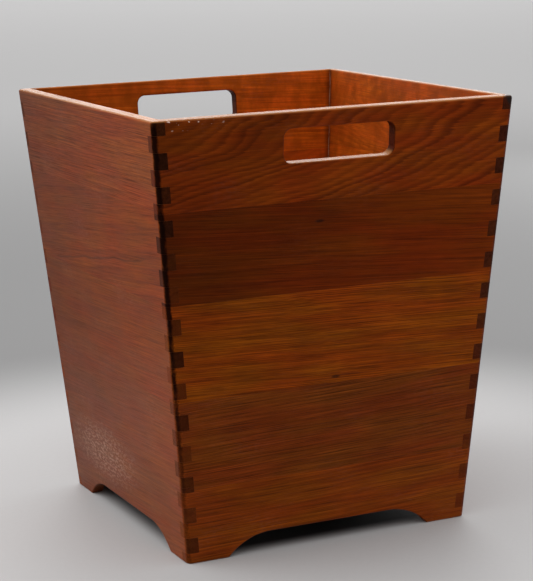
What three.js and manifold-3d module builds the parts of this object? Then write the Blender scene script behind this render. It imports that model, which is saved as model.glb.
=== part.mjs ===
// A splayed square wastebasket of solid wood.
//
// Each of the four walls is a panel of five horizontal staves, glued edge to edge. The walls lean
// outwards and meet in box joints: equal fingers that go right through both walls. The front and
// the back wall have a hand hole under the rim. All four have an arch at the floor, which leaves
// a foot at each corner. A bottom panel sits in a groove above the arches.
//
// Millimetres, +Z up. The origin is on the floor, under the middle of the basket, and the front
// wall faces -Y.

import * as THREE from 'three';
import { mergeVertices } from 'three/addons/utils/BufferGeometryUtils.js';
import Module from 'manifold-3d';

const wasm = await Module();
wasm.setup();

// ---- Driving dimensions ----

const HEIGHT = 330;             // floor to the outer edge of the rim
const RIM_WIDTH = 291;          // outside, across two opposite walls at the rim
const FLOOR_WIDTH = 235;        // the same at the floor
const WALL = 9.5;               // wall thickness, measured square to its face
const ARRIS_RADIUS = 4.5;       // rounding of the four corners of the basket
const ARRIS_STEPS = 4;          // flats that make up each rounded corner
const GLUE_GAP = 0.3;           // clearance between glued pieces

const FINGER = 12;              // height of one finger of the box joints
const FIRST_FINGER = 8;         // the lowest finger, which the floor cuts short

const HOLE_WIDTH = 89;          // hand hole
const HOLE_HEIGHT = 25;
const HOLE_BELOW_RIM = 12;      // wood left between the hole and the rim
const HOLE_RADIUS = 6.5;

const ARCH_HEIGHT = 15.5;       // arch at the floor
const ARCH_FLAT = 100;          // its straight top edge
const ARCH_RADIUS = 45;         // the curve from each end of that edge down to the floor

const PANEL_THICKNESS = 6;      // bottom panel
const PANEL_UNDERSIDE = 20;     // its height above the floor
const GROOVE_DEPTH = 4.3;       // groove in the walls that holds it
const PANEL_IN_GROOVE = 4;      // how far the panel goes into that groove

// Heights of the glue lines between staves, from the floor up.
const FRONT_SEAMS = [58, 125, 197.5, 264.5];
const RIGHT_SEAMS = [63, 131, 199, 268];
const BACK_SEAMS = [52, 122, 192.5, 263];
const LEFT_SEAMS = [60, 123, 196, 266];

// Stave names from the floor up, and the colours of one wall's staves in the same order.
const STAVES = ['foot', 'lower', 'middle', 'upper', 'top'];
const STAVE_COLOURS = [0x7a3a16, 0x713310, 0x86420f, 0x66290c, 0x7c3b12];
const PANEL_COLOUR = 0x8a4a22;

// ---- Derived sizes ----

const SPLAY = Math.atan((RIM_WIDTH - FLOOR_WIDTH) / 2 / HEIGHT);
const WALL_ACROSS = WALL / Math.cos(SPLAY);      // wall thickness along the floor
const RIM_RISE = WALL * Math.sin(SPLAY);         // the rim's inner edge stands this much higher
const REACH = 2 * WALL;                          // how far a cutter runs past the wood

/** Half of the basket's outside width at height z. */
function outerHalf(z) {
  return FLOOR_WIDTH / 2 + z * Math.tan(SPLAY);
}

/** Half of the basket's inside width at height z. */
function innerHalf(z) {
  return outerHalf(z) - WALL_ACROSS;
}

// ---- Solids ----

/** A manifold solid from a closed three.js geometry. */
function toSolid(geometry) {
  const bare = geometry.clone();
  bare.deleteAttribute('normal');
  bare.deleteAttribute('uv');
  const merged = mergeVertices(bare, 1e-4);
  return new wasm.Manifold(new wasm.Mesh({
    numProp: 3,
    vertProperties: new Float32Array(merged.attributes.position.array),
    triVerts: new Uint32Array(merged.index.array),
  }));
}

/** A three.js geometry from a manifold solid. */
function toGeometry(solid) {
  const mesh = solid.getMesh();
  const geometry = new THREE.BufferGeometry();
  geometry.setAttribute('position', new THREE.BufferAttribute(mesh.vertProperties, 3));
  geometry.setIndex(new THREE.BufferAttribute(mesh.triVerts, 1));
  geometry.computeVertexNormals();
  return geometry;
}

/** Moves every vertex of a geometry to where the function place(x, y, z) puts it. */
function reshape(geometry, place) {
  const position = geometry.attributes.position;
  for (let i = 0; i < position.count; i += 1) {
    const moved = place(position.getX(i), position.getY(i), position.getZ(i));
    position.setXYZ(i, ...moved);
  }
  return geometry;
}

/** A block from z0 to z1 whose four sides are functions of height. */
function splayedBlock(xLow, xHigh, yLow, yHigh, z0, z1) {
  const unitCube = new THREE.BoxGeometry(1, 1, 1).translate(0.5, 0.5, 0.5);
  return toSolid(reshape(unitCube, (u, v, w) => {
    const z = z0 + w * (z1 - z0);
    const x = THREE.MathUtils.lerp(xLow(z), xHigh(z), u);
    const y = THREE.MathUtils.lerp(yLow(z), yHigh(z), v);
    return [x, y, z];
  }));
}

/** The basket's outside, with its four rounded corners, taller than the basket. */
function outsideEnvelope() {
  const half = outerHalf(0);
  const turn = Math.PI / 2;
  const outline = new THREE.Shape();
  for (let corner = 0; corner < 4; corner += 1) {
    const middle = new THREE.Vector2(half - ARRIS_RADIUS, half - ARRIS_RADIUS);
    middle.rotateAround(new THREE.Vector2(), corner * turn);
    outline.absarc(middle.x, middle.y, ARRIS_RADIUS, corner * turn, (corner + 1) * turn, false);
  }
  const depth = HEIGHT + REACH;
  const upright = new THREE.ExtrudeGeometry(outline, {
    depth, steps: 1, bevelEnabled: false, curveSegments: ARRIS_STEPS,
  });
  return toSolid(reshape(upright, (x, y, z) => {
    const outwards = outerHalf(z) - half;
    return [x + Math.sign(x) * outwards, y + Math.sign(y) * outwards, z];
  }));
}

/** A very flat pyramid whose four sides are the rim: each is square to the wall under it. */
function rimPyramid() {
  const slope = Math.tan(SPLAY);
  const apex = HEIGHT + outerHalf(HEIGHT) * slope;
  const reach = apex / slope;
  const pyramid = new THREE.ConeGeometry(reach * Math.SQRT2, apex, 4);
  pyramid.rotateY(Math.PI / 4).rotateX(Math.PI / 2).translate(0, 0, apex / 2);
  return toSolid(pyramid);
}

/** Runs an outline drawn in x and z through the front wall, square to the wall's face. */
function throughFrontWall(outline, z) {
  const cutter = new THREE.ExtrudeGeometry(outline, {
    depth: 2 * REACH, steps: 1, bevelEnabled: false, curveSegments: 8,
  });
  cutter.translate(0, 0, -REACH).rotateX(Math.PI / 2 + SPLAY).translate(0, -outerHalf(z), z);
  return toSolid(cutter);
}

/** The hand hole, centred on its own middle. */
function handHoleCutter() {
  const x = HOLE_WIDTH / 2 - HOLE_RADIUS;
  const z = HOLE_HEIGHT / 2 - HOLE_RADIUS;
  const outline = new THREE.Shape();
  outline.absarc(x, z, HOLE_RADIUS, 0, Math.PI / 2, false);
  outline.absarc(-x, z, HOLE_RADIUS, Math.PI / 2, Math.PI, false);
  outline.absarc(-x, -z, HOLE_RADIUS, Math.PI, 1.5 * Math.PI, false);
  outline.absarc(x, -z, HOLE_RADIUS, 1.5 * Math.PI, 2 * Math.PI, false);
  return throughFrontWall(outline, HEIGHT - HOLE_BELOW_RIM - HOLE_HEIGHT / 2);
}

/** The arch at the floor, with its own zero at floor level. */
function archCutter() {
  const centre = ARCH_HEIGHT - ARCH_RADIUS;
  const floorAngle = Math.asin((-REACH - centre) / ARCH_RADIUS);
  const outline = new THREE.Shape();
  outline.absarc(ARCH_FLAT / 2, centre, ARCH_RADIUS, floorAngle, Math.PI / 2, false);
  outline.absarc(-ARCH_FLAT / 2, centre, ARCH_RADIUS, Math.PI / 2, Math.PI - floorAngle, false);
  return throughFrontWall(outline, 0);
}

/** The slot that the bottom panel fits, over the whole square of the basket. */
function panelSlot() {
  const half = innerHalf(PANEL_UNDERSIDE) + GROOVE_DEPTH;
  const height = PANEL_THICKNESS + GLUE_GAP;
  const slot = new THREE.BoxGeometry(2 * half, 2 * half, height);
  slot.translate(0, 0, PANEL_UNDERSIDE + PANEL_THICKNESS / 2);
  return toSolid(slot);
}

// ---- Walls ----

const envelope = outsideEnvelope();
const rim = rimPyramid();
const handHole = handHoleCutter();
const arch = archCutter();
const slot = panelSlot();

/** The fingers from z0 to z1 that belong to the front and back walls, or to the side walls. */
function fingersBetween(z0, z1, onSideWalls) {
  const fingers = [];
  const count = Math.ceil((HEIGHT - FIRST_FINGER) / FINGER) + 1;
  for (let level = onSideWalls ? 1 : 0; level < count; level += 2) {
    const low = level === 0 ? 0 : FIRST_FINGER + (level - 1) * FINGER + GLUE_GAP / 2;
    const high = FIRST_FINGER + level * FINGER - GLUE_GAP / 2;
    const finger = [Math.max(low, z0), Math.min(high, z1)];
    if (finger[1] - finger[0] > GLUE_GAP) {
      fingers.push(finger);
    }
  }
  return fingers;
}

/** One stave from z0 to z1, standing in the front wall's place. */
function stave(z0, z1, onSideWalls, cutters) {
  const outside = (z) => -outerHalf(z);
  const inside = (z) => -innerHalf(z);
  const coreEnd = (z) => innerHalf(z) - GLUE_GAP;
  const coreStart = (z) => -coreEnd(z);
  let solid = splayedBlock(coreStart, coreEnd, outside, inside, z0, z1);
  for (const [low, high] of fingersBetween(z0, z1, onSideWalls)) {
    const across = splayedBlock(outside, outerHalf, outside, inside, low, high);
    solid = solid.add(across);
  }
  solid = solid.intersect(envelope).intersect(rim);
  for (const cutter of cutters) {
    solid = solid.subtract(cutter);
  }
  return solid;
}

function woodMaterial(colour) {
  return new THREE.MeshStandardMaterial({ color: colour, roughness: 0.42, metalness: 0 });
}

/** A wall of five staves, as a group turned into its place. */
function wall({ side, quarterTurns, seams, hasHandHole }) {
  const edges = [0, ...seams, HEIGHT + RIM_RISE];
  const onSideWalls = quarterTurns % 2 === 1;
  const placed = new THREE.Group();
  STAVES.forEach((place, i) => {
    const isFoot = i === 0;
    const isTop = i === STAVES.length - 1;
    const z0 = isFoot ? 0 : edges[i] + GLUE_GAP / 2;
    const z1 = isTop ? edges[i + 1] : edges[i + 1] - GLUE_GAP / 2;
    const cutters = [];
    if (isFoot) {
      cutters.push(arch, slot);
    }
    if (isTop && hasHandHole) {
      cutters.push(handHole);
    }
    const solid = stave(z0, z1, onSideWalls, cutters);
    const mesh = new THREE.Mesh(toGeometry(solid), woodMaterial(STAVE_COLOURS[i]));
    mesh.name = `${side}_wall_${place}_stave`;
    placed.add(mesh);
  });
  placed.rotation.z = quarterTurns * Math.PI / 2;
  return placed;
}

function bottomPanel() {
  const width = 2 * (innerHalf(PANEL_UNDERSIDE) + PANEL_IN_GROOVE);
  const board = new THREE.BoxGeometry(width, width, PANEL_THICKNESS);
  const mesh = new THREE.Mesh(board, woodMaterial(PANEL_COLOUR));
  mesh.name = 'bottom_panel';
  mesh.position.z = PANEL_UNDERSIDE + PANEL_THICKNESS / 2;
  return mesh;
}

// ---- The basket ----

const group = new THREE.Group();
group.add(wall({ side: 'front', quarterTurns: 0, seams: FRONT_SEAMS, hasHandHole: true }));
group.add(wall({ side: 'right', quarterTurns: 1, seams: RIGHT_SEAMS, hasHandHole: false }));
group.add(wall({ side: 'back', quarterTurns: 2, seams: BACK_SEAMS, hasHandHole: true }));
group.add(wall({ side: 'left', quarterTurns: 3, seams: LEFT_SEAMS, hasHandHole: false }));
group.add(bottomPanel());

export default group;
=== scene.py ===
"""A splayed square teak wastebasket.

Every stave of the four walls is a mesh of its own. One closed shell with all its rounded edges is made
first. Each stave is the part of that shell that lies in its cell: a comb outline with its box joint
fingers. Hand holes, arches and the panel's groove are then cut with cutters whose mouths are rounded.
All lengths are in metres, apart from those in BOARDS and in the teak, which are in millimetres. A wall
is shaped in the front wall's place and then turned.
"""
import math
from typing import NamedTuple

import bmesh
import bpy
from mathutils import Matrix, Vector


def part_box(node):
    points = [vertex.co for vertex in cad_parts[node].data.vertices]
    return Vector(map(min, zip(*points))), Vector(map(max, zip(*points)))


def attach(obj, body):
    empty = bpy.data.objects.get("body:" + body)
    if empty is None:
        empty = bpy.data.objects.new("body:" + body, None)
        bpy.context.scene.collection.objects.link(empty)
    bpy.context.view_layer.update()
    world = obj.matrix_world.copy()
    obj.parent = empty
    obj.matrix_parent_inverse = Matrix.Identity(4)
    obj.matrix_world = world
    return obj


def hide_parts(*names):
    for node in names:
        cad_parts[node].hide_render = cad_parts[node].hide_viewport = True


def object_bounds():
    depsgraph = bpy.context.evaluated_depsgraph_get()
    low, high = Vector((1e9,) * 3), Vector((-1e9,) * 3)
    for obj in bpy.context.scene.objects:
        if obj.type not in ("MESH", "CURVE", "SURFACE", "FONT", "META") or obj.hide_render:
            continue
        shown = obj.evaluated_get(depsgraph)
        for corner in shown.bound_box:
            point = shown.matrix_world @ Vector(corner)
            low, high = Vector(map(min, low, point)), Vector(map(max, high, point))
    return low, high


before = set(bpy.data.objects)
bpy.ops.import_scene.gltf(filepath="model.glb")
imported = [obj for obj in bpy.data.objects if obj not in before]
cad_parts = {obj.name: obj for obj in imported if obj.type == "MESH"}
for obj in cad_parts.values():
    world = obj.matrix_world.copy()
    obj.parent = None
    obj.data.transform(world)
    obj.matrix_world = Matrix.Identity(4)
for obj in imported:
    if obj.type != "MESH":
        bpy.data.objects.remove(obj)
cad_low, cad_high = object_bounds()

MM = 0.001

# ---- Sizes ----

WALL = 9.5 * MM                     # wall thickness, square to its face
FLOOR_HALF = 117.5 * MM             # half of the outside width at the floor
RIM_HALF = cad_high.x               # half of the outside width at the rim
HEIGHT = 330 * MM                   # floor to the outer edge of the rim
SPLAY = math.atan((RIM_HALF - FLOOR_HALF) / HEIGHT)
WALL_ACROSS = WALL / math.cos(SPLAY)
ARRIS_RADIUS = 4.5 * MM             # rounding of the basket's four corners
RIM_RADII = (2.0 * MM, 1.6 * MM)    # outer and inner edge of the rim
SOLE_RADIUS = 0.8 * MM
JOINT_LINE = 0.06 * MM              # the thin dark line between glued pieces
SKIN = 0.02 * MM                    # how far a cell reaches past the inner face
BEYOND = 6 * MM                     # how far cells and cutters reach past the wood
SAME_POINT = 0.001 * MM             # points closer than this are one point

FINGER = 12 * MM                    # height of one finger of the box joints
FIRST_FINGER = 8 * MM               # the lowest finger, which the floor cuts short
HOLE_HALF = (44.5 * MM, 12.5 * MM)  # half of the hand hole's width and height
HOLE_RADIUS = 6.5 * MM
HOLE_CENTRE = 305.5 * MM            # height of the hole's middle on the outer face
HOLE_EDGE = 1.3 * MM                # rounding of the hand holes' edges
ARCH_HEIGHT = 15.5 * MM
ARCH_FLAT = 100 * MM                # straight top edge of an arch
ARCH_RADIUS = 45 * MM               # the curve from each end of that edge down to the floor
ARCH_EDGE = 1.0 * MM                # rounding of the arches' edges
GROOVE_DEPTH = 4.3 * MM             # groove in the walls that holds the bottom panel
PANEL_EDGE = 0.6 * MM               # easing of the bottom panel's edges
PANEL_RADIUS = 2 * MM               # rounding of its four corners

STAVES = ("foot", "lower", "middle", "upper", "top")
WALLS = ("front", "right", "back", "left")      # in quarter turns from the front


def outer_half(z):
    return FLOOR_HALF + z * math.tan(SPLAY)


def inner_half(z):
    return outer_half(z) - WALL_ACROSS


def wall_point(x, up, depth):
    """A point of the front wall: x along it, up its outer face from the floor, and depth into the wood."""
    half = FLOOR_HALF + up * math.sin(SPLAY) - depth * math.cos(SPLAY)
    return Vector((x, -half, up * math.cos(SPLAY) + depth * math.sin(SPLAY)))


def wall_place(point):
    """The inverse of wall_point."""
    lean = -point.y - FLOOR_HALF
    up = lean * math.sin(SPLAY) + point.z * math.cos(SPLAY)
    depth = point.z * math.sin(SPLAY) - lean * math.cos(SPLAY)
    return Vector((point.x, up, depth))


# ---- Outlines and lofts ----

def arc(centre, radius, start, end, steps):
    """Points on an arc, with angles in degrees."""
    angles = [math.radians(start + (end - start) * i / steps) for i in range(steps + 1)]
    return [(centre[0] + radius * math.cos(a), centre[1] + radius * math.sin(a)) for a in angles]


def rounded_rectangle(half_width, half_height, radius, steps=8):
    """The outline of a rectangle around the origin, with that many steps in each rounded corner."""
    outline = []
    for quarter, (sx, sy) in enumerate(((1, 1), (-1, 1), (-1, -1), (1, -1))):
        centre = (sx * (half_width - radius), sy * (half_height - radius))
        outline += arc(centre, radius, 90 * quarter, 90 * quarter + 90, steps)
    return outline


def loft(name, rings, ring_of_rings=False):
    """A closed mesh through rings of equal length, with its ends capped or joined to each other."""
    bm = bmesh.new()
    grid = [[bm.verts.new(p) for p in ring] for ring in rings]
    count = len(rings[0])
    spans = list(zip(grid, grid[1:]))
    if ring_of_rings:
        spans.append((grid[-1], grid[0]))
    else:
        bm.faces.new(reversed(grid[0]))
        bm.faces.new(grid[-1])
    for a, b in spans:
        for i in range(count):
            j = (i + 1) % count
            bm.faces.new((a[i], a[j], b[j], b[i]))
    bmesh.ops.remove_doubles(bm, verts=bm.verts, dist=SAME_POINT)
    bmesh.ops.recalc_face_normals(bm, faces=bm.faces)
    mesh = bpy.data.meshes.new(name)
    bm.to_mesh(mesh)
    bm.free()
    piece = bpy.data.objects.new(name, mesh)
    bpy.context.scene.collection.objects.link(piece)
    return piece


def boolean(piece, other, operation):
    """Cuts or meets the piece's mesh with another object, which stays as it is."""
    modifier = piece.modifiers.new("cut", "BOOLEAN")
    modifier.operation = operation
    modifier.solver = "MANIFOLD"
    modifier.object = other
    bpy.context.view_layer.update()
    evaluated = piece.evaluated_get(bpy.context.evaluated_depsgraph_get())
    mesh = bpy.data.meshes.new_from_object(evaluated)
    piece.modifiers.clear()
    old_mesh = piece.data
    piece.data = mesh
    bpy.data.meshes.remove(old_mesh)


# ---- The shell and the cutters ----

def fillet(corner, before, after, radius, steps):
    """Points that round the corner between its two neighbours, as an arc."""
    corner, before, after = Vector(corner), Vector(before), Vector(after)
    a, b = (before - corner).normalized(), (after - corner).normalized()
    half_angle = a.angle(b) / 2
    centre = corner + (a + b).normalized() * (radius / math.sin(half_angle))
    run = radius / math.tan(half_angle)
    start, end = corner + a * run - centre, corner + b * run - centre
    sweep = start.angle(end)
    points = []
    for i in range(steps + 1):
        turned = sweep * i / steps
        start_share = math.sin(sweep - turned) / math.sin(sweep)
        end_share = math.sin(turned) / math.sin(sweep)
        points.append(centre + start * start_share + end * end_share)
    return points


def wall_section():
    """The wall's section as (depth into the wood, distance up the outer face) points, all round."""
    sole_rise = WALL * math.tan(SPLAY)
    up = HEIGHT / math.cos(SPLAY)
    corners = [(0, 0), (0, up), (WALL, up), (WALL, -sole_rise)]
    radii = [SOLE_RADIUS, RIM_RADII[0], RIM_RADII[1], SOLE_RADIUS]
    section = []
    for i, corner in enumerate(corners):
        section += fillet(corner, corners[i - 1], corners[(i + 1) % len(corners)], radii[i], steps=6)
    return section


def make_shell():
    """The four walls as one closed solid, with no holes, arches or joints yet."""
    rings = []
    for depth, up in wall_section():
        place = wall_point(0, up, depth)
        radius = max(ARRIS_RADIUS - depth, 0)
        ring = rounded_rectangle(-place.y, -place.y, radius, steps=10)
        rings.append([Vector((x, y, place.z)) for x, y in ring])
    return loft("shell", rings, ring_of_rings=True)


def flared_cutter(name, outline, height, edge):
    """Runs outline(grow) through the front wall, growing towards both faces to round their edges."""
    steps = 6
    sweep = 84      # just short of a quarter turn, because the mouth must not lie flat in the face
    mouth = []
    for i in range(steps + 1):
        angle = math.radians(sweep * i / steps)
        mouth.append((edge - edge * math.sin(angle), edge - edge * math.cos(angle)))
    outside = [(depth, grow) for depth, grow in reversed(mouth)]
    inside = [(WALL - depth, grow) for depth, grow in mouth]
    stations = [(-BEYOND, mouth[-1][1]), *outside, *inside, (WALL + BEYOND, mouth[-1][1])]
    rings = []
    for depth, grow in stations:
        rings.append([wall_point(x, height + up, depth) for x, up in outline(grow)])
    return loft(name, rings)


def hole_outline(grow):
    return rounded_rectangle(HOLE_HALF[0] + grow, HOLE_HALF[1] + grow, HOLE_RADIUS + grow)


def arch_outline(grow):
    """The arch's outline over the middle of the wall's lower edge, from a little below the floor."""
    radius = ARCH_RADIUS + grow
    centre_up = ARCH_HEIGHT - ARCH_RADIUS
    low = math.degrees(math.asin((-BEYOND - centre_up) / radius))
    right = arc((ARCH_FLAT / 2, centre_up), radius, low, 90, steps=16)
    return right + [(-x, up) for x, up in reversed(right)]


def make_panel_slot(low, high):
    """The space that cuts the bottom panel's groove out of the walls."""
    half = inner_half(low) + GROOVE_DEPTH
    square = ((half, half), (-half, half), (-half, -half), (half, -half))
    rings = [[Vector((x, y, z)) for x, y in square] for z in (low - JOINT_LINE, high + JOINT_LINE)]
    return loft("slot", rings)


# ---- Boards ----

# A place in a wall is its distance along the wall from the middle, its height up the outer face and its
# depth into the wood. Something that a board lacks has a place far below the basket.

NOWHERE = (0.0, -900.0)


class Board(NamedTuple):
    """How one board was cut from its log, and its wear. Lengths are in millimetres."""
    slot: str = "teak_warm"     # the finish it takes
    shade: float = 1.0          # lighter or darker than its finish
    gold: float = 1.0           # more yellow than its finish, or more red if under 1
    fade: float = 0.0           # how much lighter one end is than the middle
    heart_up: float = 480.0     # height of the log's heart in the wall
    heart_depth: float = 60.0   # how far into the wall the heart lies at the board's middle
    dive: float = 0.02          # how much the heart dives into the wall along the board
    climb: float = 0.0          # how much the grain climbs along the board
    rings: float = 0.5          # how strongly the growth rings show
    ring_width: float = 3.0
    pores: float = 0.4          # how strongly the open pores show
    scuffs: float = 0.15        # how much pale rubbing it carries
    rubbed: tuple = NOWHERE     # middle of its one badly rubbed patch
    knot: tuple = NOWHERE       # place of a small knot
    vein: tuple = (*NOWHERE, 0.0)   # middle and slope of one dark line
    chips: float = 0.0          # how many pale chips the rim carries towards the board's near end


RUBBED = (-38, 47)              # the same patch lies over two boards of the left wall
RUBBED_REACH = (76, 27)         # how far a rubbed patch spreads along the board and across it
LOG_SPACING = 700               # how far apart the boards lie in the grain pattern
CHIPS_START = 60                # the rim's chips start this far from the board's middle

BOARDS = {
    "front_top": Board("teak_warm", shade=1.5, gold=1.06, fade=0.22, heart_up=352, heart_depth=103,
        dive=0.22, rings=1.2, ring_width=3.2, scuffs=0.1, chips=1.0),
    "front_upper": Board("teak_dark", shade=1.27, gold=1.2, fade=0.4, heart_up=420, heart_depth=70,
        dive=0.03, climb=-0.06, ring_width=3.6, pores=0.6, scuffs=0.05, knot=(-15, 250)),
    "front_middle": Board("teak_golden", shade=1.25, fade=0.06, heart_up=620, heart_depth=160,
        climb=-0.035, rings=0.6, ring_width=1.5, pores=1.0, scuffs=0.05, knot=(1, 130)),
    "front_lower": Board("teak_red", shade=1.18, fade=0.02, heart_up=560, heart_depth=130, climb=0.03,
        rings=0.6, ring_width=2.6, pores=1.0, scuffs=0.1),
    "front_foot": Board("teak_warm", shade=1.56, gold=1.36, fade=0.12, heart_up=300, heart_depth=90,
        dive=0.03, climb=0.02, ring_width=3.6, pores=0.9),
    # The left wall's boards carry painted light: their shades are raised and their fades lighten their near
    # ends, for the light and sheen that fall on that wall, on top of the wood's own tone.
    "left_top": Board("teak_red", shade=1.84, gold=0.94, fade=0.4, heart_up=640, heart_depth=120,
        climb=0.01, rings=0.6, pores=0.9, scuffs=0.35),
    "left_upper": Board("teak_warm", shade=1.66, gold=1.2, fade=0.32, heart_up=420, heart_depth=80,
        dive=0.03, climb=0.09, ring_width=3.6, pores=0.6, scuffs=0.35, vein=(0, 213, 0.135)),
    "left_middle": Board("teak_golden", shade=1.14, gold=0.86, fade=0.34, heart_up=500, heart_depth=90,
        climb=0.05, rings=0.4, ring_width=3.4, pores=0.6, scuffs=0.4),
    "left_lower": Board("teak_warm", shade=1.46, gold=1.18, fade=0.42, heart_up=420, heart_depth=80,
        dive=0.03, climb=0.06, rings=0.35, ring_width=3.6, pores=0.6, scuffs=0.5, rubbed=RUBBED),
    "left_foot": Board("teak_red", shade=1.36, gold=0.96, fade=0.42, heart_up=360, heart_depth=80,
        dive=0.04, climb=0.05, rings=0.35, ring_width=4.0, pores=0.6, scuffs=0.5, rubbed=RUBBED),
    "right_top": Board("teak_warm", shade=1.15, gold=1.15, heart_up=318, heart_depth=38, dive=0.1,
        climb=0.02, rings=1.0, ring_width=2.6, pores=0.6),
    "right_upper": Board("teak_golden", gold=0.9, heart_up=150, dive=0.05, climb=-0.03, rings=0.7,
        ring_width=4.0, pores=0.6),
    "right_middle": Board("teak_red", shade=1.1, heart_up=460, heart_depth=90, dive=-0.03, climb=0.02,
        rings=0.6, ring_width=4.6, pores=0.5),
    "right_lower": Board("teak_dark", shade=1.3, gold=1.1, heart_up=260, heart_depth=50, dive=0.06,
        climb=0.01, rings=0.7, ring_width=3.4, pores=0.5),
    "right_foot": Board("teak_warm", shade=1.2, gold=1.2, heart_up=340, heart_depth=90, climb=-0.02,
        ring_width=5.0, pores=0.5),
    "back_top": Board("teak_golden", shade=0.95, gold=0.88, fade=-0.4, heart_up=540, heart_depth=120,
        dive=0.04, climb=0.03, rings=0.8, ring_width=3.8, pores=0.7),
    "back_upper": Board("teak_warm", shade=1.2, gold=1.1, heart_up=240, heart_depth=40, dive=0.2,
        climb=0.01, rings=0.9, ring_width=3.6),
    "back_middle": Board("teak_dark", shade=1.3, gold=1.1, heart_up=500, heart_depth=90, dive=0.03,
        climb=-0.02, rings=0.6, ring_width=4.4, pores=0.5),
    "back_lower": Board("teak_golden", gold=0.9, heart_up=420, heart_depth=100, dive=-0.03, climb=0.03,
        rings=0.6, ring_width=4.0, pores=0.6),
    "back_foot": Board("teak_red", shade=1.1, heart_up=300, heart_depth=80, dive=0.05, rings=0.6,
        ring_width=5.0, pores=0.5),
    "bottom_panel": Board("teak_panel", heart_up=60, heart_depth=50, dive=0.03, climb=0.01, rings=0.6,
        ring_width=4.5),
}


def place_in_log(place, board, number):
    """Turns a place in the wall into one in the board's own log, with the heart along its x axis."""
    up = place.y - board.heart_up - board.climb * place.x
    depth = place.z + board.heart_depth + board.dive * place.x
    return Vector((place.x + LOG_SPACING * number, up, depth))


def place_in_fibres(place, board, number):
    """A place in the wall with the board's climbing fibres laid level, far from every other board's."""
    return Vector((place.x + LOG_SPACING * number, place.y - board.climb * place.x, place.z))


def place_from(place, middle, slope=0.0):
    """How far a place in the wall lies from a middle, along the wall and above a line with this slope."""
    along = place.x - middle[0]
    return Vector((along, place.y - middle[1] - slope * along, 0))


# ---- Staves ----

def finger_levels(z0, z1):
    """(low, high, number) of each finger height between z0 and z1, counted from the floor."""
    levels = []
    low, number = z0, 0
    while low < z1:
        high = FIRST_FINGER + number * FINGER
        if high > low:
            levels.append((low, min(high, z1), number))
            low = high
        number += 1
    return levels


def stave_cell(name, z0, z1, on_side_wall):
    """The space that one stave may fill: a comb outline, taken through the wall."""
    right = []
    levels = finger_levels(z0, z1)
    for i, (low, high, number) in enumerate(levels):
        is_finger = number % 2 == int(on_side_wall)
        trim = JOINT_LINE / 2 if is_finger else -JOINT_LINE / 2
        bottom = low + (trim if i > 0 else 0)
        top = high - (trim if i < len(levels) - 1 else 0)
        for z in (bottom, top):
            reach = outer_half(z) + BEYOND if is_finger else inner_half(z) - JOINT_LINE
            right.append((reach, z))
    outline = right + [(-x, z) for x, z in reversed(right)]
    outside = [Vector((x, -outer_half(z) - BEYOND, z)) for x, z in outline]
    inside = [Vector((x, -inner_half(z) + SKIN, z)) for x, z in outline]
    return loft(name, [outside, inside])


def write_attribute(mesh, name, kind, values):
    """Stores one value for each vertex of the mesh under this name."""
    attribute = mesh.attributes.new(name, kind, "POINT")
    if kind == "FLOAT_VECTOR":
        attribute.data.foreach_set("vector", [part for value in values for part in value])
    else:
        attribute.data.foreach_set("value", values)


def store_board(piece, board, trunk, number, places):
    """Keeps on each vertex what the teak material needs to know about its board, in millimetres."""
    vectors = {
        "place": places,
        "log": [place_in_log(p, board, number) for p in places],
        "fibre": [place_in_fibres(p, board, number) for p in places],
        "from_knot": [place_from(p, board.knot) for p in places],
        "from_rubbed": [place_from(p, board.rubbed) for p in places],
        "from_vein": [place_from(p, board.vein[:2], board.vein[2]) for p in places],
        "trunk": [trunk] * len(places),
        "look": [(board.rings, board.pores, board.scuffs)] * len(places),
    }
    tint = board.shade * Vector((1, board.gold, board.gold))
    vectors["tint"] = [tint * (1 + board.fade * p.x * MM / RIM_HALF) for p in places]
    numbers = {
        "ring_width": [board.ring_width] * len(places),
        "chips": [board.chips * (-p.x - CHIPS_START) / CHIPS_START for p in places],
    }
    for name, values in vectors.items():
        write_attribute(piece.data, name, "FLOAT_VECTOR", values)
    for name, values in numbers.items():
        write_attribute(piece.data, name, "FLOAT", values)


def smooth(piece):
    """Smooth shading on the rounded edges, with the flat faces kept flat."""
    piece.data.shade_smooth()
    piece.data.set_sharp_from_angle(angle=math.radians(35))
    weighted = piece.modifiers.new("flat faces stay flat", "WEIGHTED_NORMAL")
    weighted.keep_sharp = True


def finish_piece(piece, node, board):
    """Gives a finished board its shading and its wood, and its place in the frame."""
    smooth(piece)
    piece.data.materials.clear()
    piece.data.materials.append(TEAK[board.slot])
    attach(piece, "root")
    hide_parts(node)


def stave_node(wall, place):
    return f"{WALLS[wall]}_wall_{STAVES[place]}_stave"


def seam_height(wall, place):
    """Height of the glue line between this stave and the one above it."""
    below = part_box(stave_node(wall, place))[1].z
    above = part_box(stave_node(wall, place + 1))[0].z
    return (below + above) / 2


def make_stave(wall, place, shell, cutters):
    node = stave_node(wall, place)
    is_top = place == len(STAVES) - 1
    z0 = seam_height(wall, place - 1) if place > 0 else -BEYOND
    z1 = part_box(node)[1].z + BEYOND if is_top else seam_height(wall, place)
    half_gap = JOINT_LINE / 2
    cell = stave_cell("cell", z0 + half_gap, z1 - half_gap, on_side_wall=wall % 2 == 1)
    piece = bpy.data.objects.new(f"{node}_wood", shell.data.copy())
    bpy.context.scene.collection.objects.link(piece)
    boolean(piece, cell, "INTERSECT")
    bpy.data.objects.remove(cell)
    for cutter in cutters:
        boolean(piece, cutter, "DIFFERENCE")
    board = BOARDS[f"{WALLS[wall]}_{STAVES[place]}"]
    number = len(STAVES) * wall + place + 1
    turn = Matrix.Rotation(math.radians(90 * wall), 4, "Z")
    places = [wall_place(vertex.co) / MM for vertex in piece.data.vertices]
    store_board(piece, board, turn @ Vector((1, 0, 0)), number, places)
    piece.data.transform(turn)
    finish_piece(piece, node, board)


# ---- Materials ----

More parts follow.
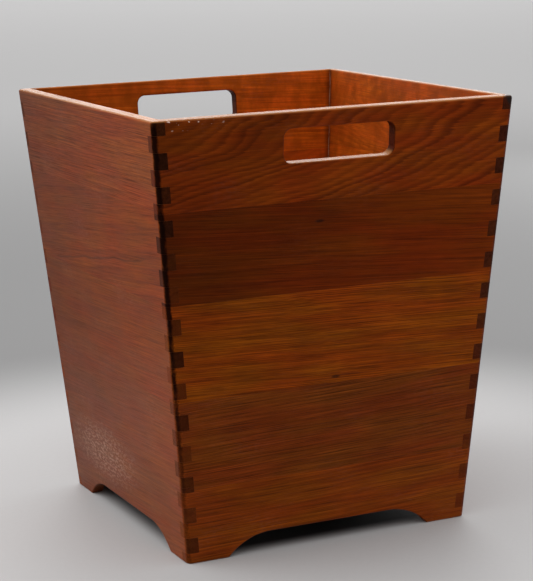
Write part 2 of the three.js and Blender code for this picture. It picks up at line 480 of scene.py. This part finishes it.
class NodeTree:
    """A short way to write shader nodes: each call adds one node and gives back its output."""

    def __init__(self, tree):
        self.tree = tree

    def feed(self, socket, value):
        if isinstance(value, bpy.types.NodeSocket):
            self.tree.links.new(value, socket)
        elif value is not None:
            socket.default_value = value

    def node(self, kind, values, output=0, **settings):
        node = self.tree.nodes.new(kind)
        for key, setting in settings.items():
            setattr(node, key, setting)
        for key, value in values.items():
            self.feed(node.inputs[key], value)
        return node.outputs[output]

    def attribute(self, name, output="Vector"):
        return self.node("ShaderNodeAttribute", {}, output, attribute_name=name)

    def math(self, operation, *values):
        return self.node("ShaderNodeMath", dict(enumerate(values)), operation=operation)

    def product(self, first, *others):
        """Multiplies numbers with each other."""
        for other in others:
            first = self.math("MULTIPLY", first, other)
        return first

    def vector(self, operation, *values, output=0):
        return self.node("ShaderNodeVectorMath", dict(enumerate(values)), output, operation=operation)

    def length(self, vector):
        return self.vector("LENGTH", vector, output="Value")

    def scale(self, vector, factor):
        return self.node("ShaderNodeVectorMath", {0: vector, 3: factor}, operation="SCALE")

    def part(self, vector, axis):
        return self.node("ShaderNodeSeparateXYZ", {0: vector}, axis)

    def noise(self, place, stretch, detail=3.0, roughness=0.5):
        """Noise from 0 to 1 whose features are about as long, high and deep as stretch, in millimetres."""
        scaled = self.vector("DIVIDE", place, stretch)
        values = {"Vector": scaled, "Scale": 1.0, "Detail": detail, "Roughness": roughness}
        return self.node("ShaderNodeTexNoise", values, "Fac")

    def chance(self, number):
        """A different number from 0 to 1 for each whole number."""
        return self.node("ShaderNodeTexWhiteNoise", {"W": number}, "Value", noise_dimensions="1D")

    def step(self, value, start, end, low=0.0, high=1.0):
        """Rises or falls smoothly from low to high as value goes from start to end."""
        values = {0: value, 1: start, 2: end, 3: low, 4: high}
        return self.node("ShaderNodeMapRange", values, interpolation_type="SMOOTHSTEP")

    def mix(self, factor, a, b, blend="MIX"):
        return self.node("ShaderNodeMix", {0: factor, 6: a, 7: b}, 2, data_type="RGBA", blend_type=blend)

    def bump(self, height, strength, distance):
        values = {"Strength": strength, "Distance": distance, "Height": height}
        return self.node("ShaderNodeBump", values)


class Shader(NodeTree):
    """A material with one surface shader, written in the same way."""

    def __init__(self, name):
        self.material = bpy.data.materials.new(name)
        self.material.use_nodes = True
        super().__init__(self.material.node_tree)

    def finish(self, **inputs):
        surface = self.tree.nodes["Principled BSDF"]
        for name, value in inputs.items():
            self.feed(surface.inputs[name.replace("_", " ")], value)
        return self.material


# Colours are linear red, green and blue, and 1. The first two are multiplied with the colour under them.
LATEWOOD = (0.30, 0.20, 0.16, 1)
OPEN_PORE = (0.30, 0.20, 0.18, 1)
KNOT = (0.012, 0.004, 0.003, 1)
VEIN = (0.030, 0.009, 0.004, 1)
WORN_FILM = (0.175, 0.050, 0.016, 1)
# painted light on the inside faces
LIT_INSIDE = (0.62, 0.13, 0.008, 1)
# painted shade in the inside corners
INSIDE_CORNER_SHADE = (0.06, 0.012, 0.006, 1)
GLUE = (0.42, 0.24, 0.15, 1)
# end grain at the front left corner, blackened further as painted shade
BLACK_ENDS = ((0.006, 0.0014, 0.0006, 1), (0.024, 0.006, 0.003, 1))
BROWN_ENDS = ((0.014, 0.0034, 0.0022, 1), (0.050, 0.013, 0.009, 1))
# painted shade down the front left arris
ARRIS_SHADE = (0.006, 0.0016, 0.0010, 1)
KNOCK = (0.022, 0.017, 0.016, 1)
# painted highlight on the tops of the rim and the hand holes' lower edges
RIM_HIGHLIGHT = (0.56, 0.24, 0.075, 1)
RUBBED_WOOD = (0.50, 0.29, 0.22, 1)
CHIP = (0.85, 0.62, 0.50, 1)
REFLECTION = (0.90, 0.35, 0.12, 1)


class Wood(Shader):
    """The marks and colours of a board, from what store_board kept on it. Marks go from 0 to 1."""

    def __init__(self, name):
        super().__init__(name)
        self.place = self.attribute("place")
        self.log = self.attribute("log")
        self.fibre = self.attribute("fibre")
        self.trunk = self.attribute("trunk")
        self.normal = self.node("ShaderNodeNewGeometry", {}, "Normal")
        self.whole = self.node("ShaderNodeTexCoord", {}, "Object")      # a place in the basket, in metres
        look = self.attribute("look")
        self.rings_shown, self.pores_shown, self.scuffs_shown = (self.part(look, i) for i in range(3))
        self.along, self.height_up, self.depth = (self.part(self.place, i) for i in range(3))
        self.fibres = self.noise(self.fibre, (85, 1.0, 1.0), 3.0, 0.6)
        self.mottle = self.noise(self.fibre, (16, 5, 5), 3.0, 0.6)
        self.cloud = self.noise(self.place, (70, 30, 30), 3.0)
        self.speckle = self.step(self.noise(self.place, (2.4, 2.4, 2.4), 4.0, 0.7), 0.3, 0.7)
        inner_face = (FLOOR_HALF - WALL * math.cos(SPLAY)) / MM
        half_inside = self.math("MULTIPLY_ADD", self.height_up, math.sin(SPLAY), inner_face)
        self.to_corner = self.math("SUBTRACT", half_inside, self.math("ABSOLUTE", self.along))
        self.inside = self.product(self.step(self.depth, 8.0, 9.3), self.step(self.to_corner, -0.6, -0.1))
        towards_back_right = self.math("ADD", self.part(self.whole, 0), self.part(self.whole, 1))
        self.front_left_corner = self.step(towards_back_right, -0.20, -0.10, 1.0, 0.0)    # front left corner only

    def growth_rings(self):
        """Dark rings and broad bands by the distance from the log's heart, wavering along the trunk."""
        radius = self.length(self.vector("MULTIPLY", self.log, (0, 1, 1)))
        waver = self.product(self.noise(self.log, (150, 40, 40), 2.0), 16.0)
        feather = self.product(self.fibres, 2.6)
        wavered = self.math("ADD", self.math("ADD", radius, waver), feather)
        age = self.math("DIVIDE", wavered, self.attribute("ring_width", "Fac"))
        season = self.math("FRACT", age)
        latewood = self.product(self.step(season, 0.10, 0.75), self.step(season, 0.80, 1.0, 1.0, 0.0))
        good_year = self.step(self.chance(self.math("FLOOR", age)), 0.0, 1.0, 0.35, 1.0)
        in_rings = self.node("ShaderNodeCombineXYZ", {0: self.part(self.log, 0), 1: wavered})
        bands = self.noise(in_rings, (300, 5, 1), 3.0)
        return self.product(latewood, good_year, self.rings_shown), bands

    def open_pores(self):
        """Short dark dashes along the grain."""
        dashes = self.noise(self.fibre, (42, 0.42, 0.42), 2.0, 0.55)
        return self.product(self.step(dashes, 0.52, 0.62), self.pores_shown)

    def threads(self):
        """Fine lighter and darker lines along the grain, around 1."""
        thread = self.step(self.noise(self.fibre, (80, 0.6, 0.6), 2.0), 0.25, 0.75, -0.42, 0.42)
        return self.math("MULTIPLY_ADD", thread, self.pores_shown, 1.0)

    def knot(self):
        """A small dark spot that is drawn out along the grain."""
        from_knot = self.vector("MULTIPLY", self.attribute("from_knot"), (0.30, 0.9, 0))
        return self.step(self.length(from_knot), 0.5, 1.5, 1.0, 0.0)

    def vein(self):
        """A single dark line that wanders along a board."""
        from_vein = self.attribute("from_vein")
        wander = self.math("MULTIPLY_ADD", self.noise(self.place, (45, 60, 60), 2.0), 9.0, -4.5)
        off_line = self.math("ABSOLUTE", self.math("ADD", self.part(from_vein, 1), wander))
        line = self.step(off_line, 0.2, 1.3, 0.5, 0.0)
        fading_out = self.step(self.math("ABSOLUTE", self.part(from_vein, 0)), 85, 110, 1.0, 0.0)
        return self.product(line, fading_out)

    def end_grain(self):
        """Where the surface cuts across the fibres."""
        facing = self.math("ABSOLUTE", self.vector("DOT_PRODUCT", self.normal, self.trunk, output="Value"))
        return self.step(facing, 0.25, 0.75)

    def end_darkness(self):
        """End grain drinks the oil: most on the side walls' boards, least where other boards' fingers end.
        It differs from finger to finger and fades towards the floor."""
        in_finger = self.step(self.to_corner, -1.0, 0.0, 1.0, 0.0)
        on_side_wall = self.math("ABSOLUTE", self.part(self.trunk, 1))
        drunk = self.math("MAXIMUM", on_side_wall, self.math("MULTIPLY_ADD", in_finger, -0.75, 0.88))
        above_first = self.math("SUBTRACT", self.part(self.whole, 2), FIRST_FINGER)
        finger = self.math("FLOOR", self.math("DIVIDE", above_first, FINGER))
        finger_here = self.math("MULTIPLY_ADD", self.front_left_corner, 50.0, finger)
        differing = self.step(self.chance(finger_here), 0.0, 1.0, 0.76, 1.0)
        # at the front left corner the ends stay dark down to the floor, as painted shade
        at_floor = self.math("MULTIPLY_ADD", self.front_left_corner, 0.42, 0.35)
        fading_down = self.step(self.height_up, 20, 240, at_floor, 0.97)
        return self.product(drunk, differing, fading_down)

    def end_colour(self):
        """Speckled, and blackest at the front left corner, where shade is painted over the end grain."""
        black_ends = self.mix(self.speckle, *BLACK_ENDS)
        brown_ends = self.mix(self.speckle, *BROWN_ENDS)
        return self.mix(self.front_left_corner, brown_ends, black_ends)

    def dark_arris(self):
        """A ragged line of painted shade down the front left corner, thinner and weaker below, and faint on
        the others.
        """
        across = self.math("ABSOLUTE", self.product(self.part(self.normal, 0), self.part(self.normal, 1)))
        ragged = self.math("MULTIPLY_ADD", self.noise(self.place, (3, 7, 3), 3.0, 0.6), 0.56, -0.28)
        thinner = self.step(self.height_up, 150, 230, 0.12, 0.0)
        width = self.math("SUBTRACT", self.math("ADD", across, ragged), thinner)
        on_arris = self.step(self.to_corner, -3.5, -2.5, 1.0, 0.0)
        stronger_above = self.step(self.height_up, 20, 150, 0.35, 0.95)
        weaker_at_rim = self.step(self.height_up, 326, 332, 1.0, 0.4)
        # painted shade: full on the front left corner, a fifth as strong on the others
        arris_shade_strength = self.math("MULTIPLY_ADD", self.front_left_corner, 0.8, 0.2)
        return self.product(self.step(width, 0.10, 0.42), on_arris, stronger_above, weaker_at_rim, arris_shade_strength)

    def knock(self):
        """A dark knock on the rim's front right corner."""
        corner = (RIM_HALF, -RIM_HALF, HEIGHT)
        from_corner = self.vector("DISTANCE", self.whole, corner, output="Value")
        from_knock = self.math("MULTIPLY_ADD", self.speckle, 2.0 * MM, from_corner)
        return self.step(from_knock, 7.0 * MM, 10.5 * MM, 0.9, 0.0)

    def lit_rim_tops(self):
        """The tops of the rim and of the hand holes' lower edges face up into the light and are painted pale
        as a highlight, unevenly.
        """
        upward = self.step(self.part(self.normal, 2), 0.35, 0.85)
        near_rim = self.step(self.height_up, 250, 280)
        uneven = self.step(self.noise(self.place, (40, 8, 8), 3.0), 0.2, 0.7, 0.34, 0.72)
        return self.product(upward, near_rim, uneven)

    def rubbed_patch(self, end_grain):
        """Pale speckled rubbing: one bad patch, and a haze over the scuffed boards."""
        in_patch = self.vector("DIVIDE", self.attribute("from_rubbed"), (*RUBBED_REACH, 1.0))
        away = self.math("ADD", self.length(in_patch), self.product(self.mottle, 0.7))
        patch = self.step(away, 0.6, 1.5, 1.0, 0.0)
        hazy = self.step(self.noise(self.place, (60, 34, 34), 3.0), 0.45, 0.70)
        haze = self.product(hazy, self.scuffs_shown)
        flecks = self.step(self.noise(self.place, (5.0, 2.0, 2.0), 3.0, 0.7), 0.46, 0.60, 0.08, 1.0)
        rubbed = self.product(self.math("MAXIMUM", patch, self.product(haze, 0.35)), flecks)
        return self.product(rubbed, self.math("SUBTRACT", 1.0, end_grain))

    def rim_chips(self, end_grain):
        """A few pale chips along the outer edge of the rim."""
        near_rim = self.step(self.height_up, 320, 329)
        on_board = self.step(self.attribute("chips", "Fac"), 0.3, 0.9)
        chips = self.step(self.noise(self.place, (3.2, 1.9, 1.9), 2.0), 0.66, 0.69)
        not_there = self.math("MAXIMUM", self.inside, end_grain)
        return self.product(chips, near_rim, on_board, self.math("SUBTRACT", 1.0, not_there))

    def clean_wood(self, deep, bright, bands, ring_mark, pore_mark):
        """The colour of the wood before any wear, between a deep and a bright tone."""
        from_fibres = self.product(self.step(self.fibres, 0.2, 0.8), 0.45)
        from_bands = self.product(self.step(bands, 0.25, 0.75), 0.55)
        tone = self.math("SUBTRACT", self.math("ADD", from_fibres, from_bands), 0.5)
        contrast = self.math("MULTIPLY_ADD", self.rings_shown, 0.6, 0.4)
        colour = self.mix(self.math("MULTIPLY_ADD", tone, contrast, 0.5), deep, bright)
        colour = self.mix(self.product(ring_mark, 0.62), colour, LATEWOOD, "MULTIPLY")
        colour = self.mix(self.product(pore_mark, 0.70), colour, OPEN_PORE, "MULTIPLY")
        clouds = self.step(self.cloud, 0.2, 0.8, 0.84, 1.14)
        mottles = self.step(self.mottle, 0.2, 0.8, 0.90, 1.10)
        colour = self.scale(colour, self.product(clouds, mottles, self.threads()))
        gold = self.step(self.noise(self.log, (80, 16, 16), 2.0), 0.3, 0.7, 0.84, 1.20)
        hue = self.node("ShaderNodeCombineXYZ", {0: 1.0, 1: gold, 2: 1.0})
        return self.vector("MULTIPLY", colour, self.vector("MULTIPLY", self.attribute("tint"), hue))

    def inside_light_shade_and_glue(self, colour):
        """Light is painted on the inside, which is made lighter and more orange unevenly, with painted shade
        and broken glue along its corners.
        """
        # painted light, brighter in blotches
        lit_figure = self.step(self.noise(self.place, (12, 18, 12), 3.0, 0.6), 0.32, 0.68, 0.45, 1.75)
        colour = self.scale(colour, self.math("MULTIPLY_ADD", self.inside, lit_figure, 1.0))
        colour = self.mix(self.product(self.inside, 0.3), colour, LIT_INSIDE)
        # painted shade along the inside corners
        uneven = self.math("ADD", self.to_corner, self.product(self.cloud, 3.0))
        corner_shade = self.step(uneven, 1.5, 7.0, 0.6, 0.0)
        colour = self.mix(self.product(corner_shade, self.inside), colour, INSIDE_CORNER_SHADE)
        in_corner = self.step(self.to_corner, 0.3, 0.8, 1.0, 0.0)
        broken = self.step(self.noise(self.place, (6, 9, 6), 2.0), 0.35, 0.60)
        return self.mix(self.product(in_corner, self.inside, broken), colour, GLUE)


def teak(name, deep, bright):
    """Oiled solid teak between a deep and a bright tone, with rings, pores, end grain and wear, and with
    painted light and shade.
    """
    s = Wood(name)
    ring_mark, bands = s.growth_rings()
    pore_mark = s.open_pores()
    end_grain = s.end_grain()
    dark_ends = s.product(end_grain, s.end_darkness())
    arris = s.dark_arris()
    knock = s.knock()
    rubbed = s.rubbed_patch(end_grain)
    lit_tops = s.product(s.lit_rim_tops(), s.math("SUBTRACT", 1.0, knock))

    colour = s.clean_wood(deep, bright, bands, ring_mark, pore_mark)
    colour = s.mix(s.product(s.knot(), 0.75), colour, KNOT)
    colour = s.mix(s.vein(), colour, VEIN)
    colour = s.mix(s.product(s.scuffs_shown, 0.6), colour, WORN_FILM)
    # painted light inside, and painted shade in the inside corners
    colour = s.inside_light_shade_and_glue(colour)
    # dark end grain, blackest at the front left corner as painted shade
    colour = s.mix(dark_ends, colour, s.end_colour())
    # painted shade along the arris
    colour = s.mix(arris, colour, ARRIS_SHADE)
    colour = s.mix(knock, colour, KNOCK)
    # painted highlight on the upward faces of the rim
    colour = s.mix(lit_tops, colour, RIM_HIGHLIGHT)
    colour = s.mix(s.product(rubbed, 0.68), colour, RUBBED_WOOD)
    colour = s.mix(s.product(s.rim_chips(end_grain), 0.95), colour, CHIP)

    roughness = s.math("MULTIPLY_ADD", s.cloud, 0.14, 0.36)
    for mark, rougher in ((pore_mark, 0.12), (rubbed, 0.25), (end_grain, 0.10)):
        roughness = s.math("ADD", roughness, s.product(mark, rougher))
    height = s.math("SUBTRACT", s.product(s.fibres, 0.5), pore_mark)
    height = s.math("SUBTRACT", height, s.product(ring_mark, 0.3))
    dull = s.math("MAXIMUM", arris, s.product(dark_ends, 0.6))
    shine = s.math("MULTIPLY_ADD", dull, -0.14, 0.18)
    return s.finish(Base_Color=colour, Roughness=roughness, Normal=s.bump(height, 0.5, 0.12 * MM),
                    Specular_IOR_Level=shine, Specular_Tint=REFLECTION)


TEAK = {
    "teak_warm": teak("teak_warm", (0.112, 0.0130, 0.0008, 1), (0.225, 0.0330, 0.0020, 1)),
    "teak_dark": teak("teak_dark", (0.088, 0.0090, 0.0006, 1), (0.170, 0.0210, 0.0013, 1)),
    "teak_golden": teak("teak_golden", (0.158, 0.0260, 0.0012, 1), (0.315, 0.0640, 0.0030, 1)),
    "teak_red": teak("teak_red", (0.120, 0.0210, 0.0020, 1), (0.230, 0.0460, 0.0056, 1)),
    "teak_panel": teak("teak_panel", (0.140, 0.0200, 0.0012, 1), (0.280, 0.0500, 0.0030, 1)),
}


# ---- The basket ----

def make_walls():
    shell = make_shell()
    slot_low, slot_high = (corner.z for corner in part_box("bottom_panel"))
    hole = flared_cutter("hole", hole_outline, HOLE_CENTRE / math.cos(SPLAY), HOLE_EDGE)
    arch = flared_cutter("arch", arch_outline, 0, ARCH_EDGE)
    slot = make_panel_slot(slot_low, slot_high)
    for wall in range(len(WALLS)):
        for place in range(len(STAVES)):
            cutters = []
            if place == 0:
                cutters = [arch, slot]
            elif place == len(STAVES) - 1 and wall % 2 == 0:
                cutters = [hole]
            make_stave(wall, place, shell, cutters)
    for tool in (shell, hole, arch, slot):
        bpy.data.objects.remove(tool)


def make_bottom_panel():
    """A loose panel whose edges are eased and sit in the groove of the four foot staves."""
    low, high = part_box("bottom_panel")
    sections = ((PANEL_EDGE, low.z), (0, low.z + PANEL_EDGE), (0, high.z - PANEL_EDGE), (PANEL_EDGE, high.z))
    rings = []
    for inset, z in sections:
        half = high.x - inset
        rings.append([Vector((x, y, z)) for x, y in rounded_rectangle(half, half, PANEL_RADIUS)])
    piece = loft("bottom_panel_wood", rings)
    board = BOARDS["bottom_panel"]
    places = [Vector((v.co.x, v.co.y, 0)) / MM for v in piece.data.vertices]
    store_board(piece, board, Vector((1, 0, 0)), len(WALLS) * len(STAVES) + 1, places)
    finish_piece(piece, "bottom_panel", board)


make_walls()
make_bottom_panel()


# ---- The floor ----

FLOOR_REACH = 15                # the floor ends this far from the basket on each side
FLOOR_SINK = 0.2 * MM           # how far it lies under the soles
FLOOR_NEAR = 0.58               # its tone close to the basket, painted bright as a pool of light
FLOOR_DIP = 0.25                # and in the painted darker ring around that
FLOOR_RISES = ((1.0, 3.4, 0.23), (3.0, 9.0, 0.10))      # further out: from, to and how much paler, as painted light
SHADOW_UNDER_BASKET = 0.04             # share of the tone that is left where a shadow is painted under the basket


def make_floor():
    """A wide pale floor with light painted into its tone: a painted pool of light close to the basket, a
    painted darker ring around that, paler further out and fading to the distance, and a painted shadow under
    the basket.
    """
    mesh = bpy.data.meshes.new("floor")
    corners = [(x * FLOOR_REACH, y * FLOOR_REACH, 0) for x, y in ((-1, -1), (1, -1), (1, 1), (-1, 1))]
    mesh.from_pydata(corners, [], [(0, 1, 2, 3)])
    floor = bpy.data.objects.new("floor", mesh)
    floor.location.z = -FLOOR_SINK
    bpy.context.scene.collection.objects.link(floor)
    s = Shader("floor")
    place = s.node("ShaderNodeTexCoord", {}, "Object")
    away = s.length(place)
    # painted light: brightest close to the basket, then a darker ring
    tone = s.step(away, 0.30, 0.60, FLOOR_NEAR, FLOOR_DIP)
    for start, end, rise in FLOOR_RISES:
        tone = s.math("ADD", tone, s.step(away, start, end, 0.0, rise))
    # painted darker towards the far edge, as falloff
    fade = s.step(away, 9.5, 14.5, 1.0, 0.76)
    grain = s.step(s.noise(place, (0.004, 0.004, 0.004), 2.0), 0.0, 1.0, 0.985, 1.015)
    sideways = s.math("MAXIMUM", s.math("ABSOLUTE", s.part(place, 0)), s.math("ABSOLUTE", s.part(place, 1)))
    # a painted shadow under the basket
    under = s.step(sideways, FLOOR_HALF - 22 * MM, FLOOR_HALF - 2 * MM, SHADOW_UNDER_BASKET, 1.0)
    tone = s.product(tone, fade, grain, under)
    grey = s.node("ShaderNodeCombineColor", {0: tone, 1: tone, 2: tone})
    mesh.materials.append(s.finish(Base_Color=grey, Roughness=0.75, Specular_IOR_Level=0.2))


make_floor()


# ---- Light ----

def add_light(name, kind, direction, strength):
    """An unseen light that shines from this direction."""
    data = bpy.data.lights.new(name, kind)
    data.energy = strength
    light = bpy.data.objects.new(name, data)
    light.visible_camera = False
    light.rotation_mode = "QUATERNION"
    light.rotation_quaternion = Vector(direction).to_track_quat("Z", "Y")
    bpy.context.scene.collection.objects.link(light)
    return light


def add_softbox(name, location, target, side, power):
    """A square light at a location that faces a target."""
    light = add_light(name, "AREA", Vector(location) - Vector(target), power)
    light.location = location
    light.data.size = side


def add_broad_light(name, direction, width, strength):
    """A very distant soft light that is as wide as this angle, in degrees."""
    light = add_light(name, "SUN", direction, strength)
    light.data.angle = math.radians(width)


def make_surround():
    """A pale surround that is brighter above and towards the left."""
    world = bpy.data.worlds.new("studio")
    world.use_nodes = True
    s = NodeTree(world.node_tree)
    towards = s.node("ShaderNodeTexCoord", {}, "Generated")
    upwards = s.step(s.part(towards, 2), 0.0, 1.0, 0.34, 0.78)
    sideways = s.step(s.part(towards, 0), -1.0, 1.0, 1.40, 0.95)
    background = world.node_tree.nodes["Background"]
    s.feed(background.inputs["Strength"], s.product(upwards, sideways))
    s.feed(background.inputs["Color"], (1.0, 0.985, 0.985, 1))
    bpy.context.scene.world = world


add_softbox("overhead", (-0.3, 0.4, 2.4), (0, 0, 0.2), side=2.4, power=7)
add_softbox("left", (-1.9, 0.7, 1.9), (0, 0, 0.2), side=2.2, power=15)
add_softbox("right", (1.7, 1.1, 0.5), (0, 0, 0.15), side=0.9, power=5)
add_broad_light("behind", (0.42, 0.86, 0.30), width=34, strength=0.93)
make_surround()


# ---- Camera ----

AZIMUTH = math.radians(-25.09)          # from the front wall's own direction, to the left
ELEVATION = math.radians(11.40)
ROLL = math.radians(-1.33)
DISTANCE = 1.561                        # to the point it looks at
TARGET = Vector((0.0062, 0, 0.1717))
LENS = 121.54                           # in millimetres, on a sensor 36 mm wide
SENSOR_WIDTH = 36


def make_camera():
    level = math.cos(ELEVATION)
    back = Vector((math.sin(AZIMUTH) * level, -math.cos(AZIMUTH) * level, math.sin(ELEVATION)))
    right = Vector((math.cos(AZIMUTH), math.sin(AZIMUTH), 0))
    up = back.cross(right)
    rolled_right = right * math.cos(ROLL) + up * math.sin(ROLL)
    rolled_up = up * math.cos(ROLL) - right * math.sin(ROLL)
    data = bpy.data.cameras.new("camera")
    data.lens = LENS
    data.sensor_width = SENSOR_WIDTH
    camera = bpy.data.objects.new("camera", data)
    rotation = Matrix((rolled_right, rolled_up, back)).transposed()
    camera.matrix_world = Matrix.Translation(TARGET + back * DISTANCE) @ rotation.to_4x4()
    bpy.context.scene.collection.objects.link(camera)
    bpy.context.scene.camera = camera


make_camera()
bpy.context.scene.view_settings.view_transform = "Standard"
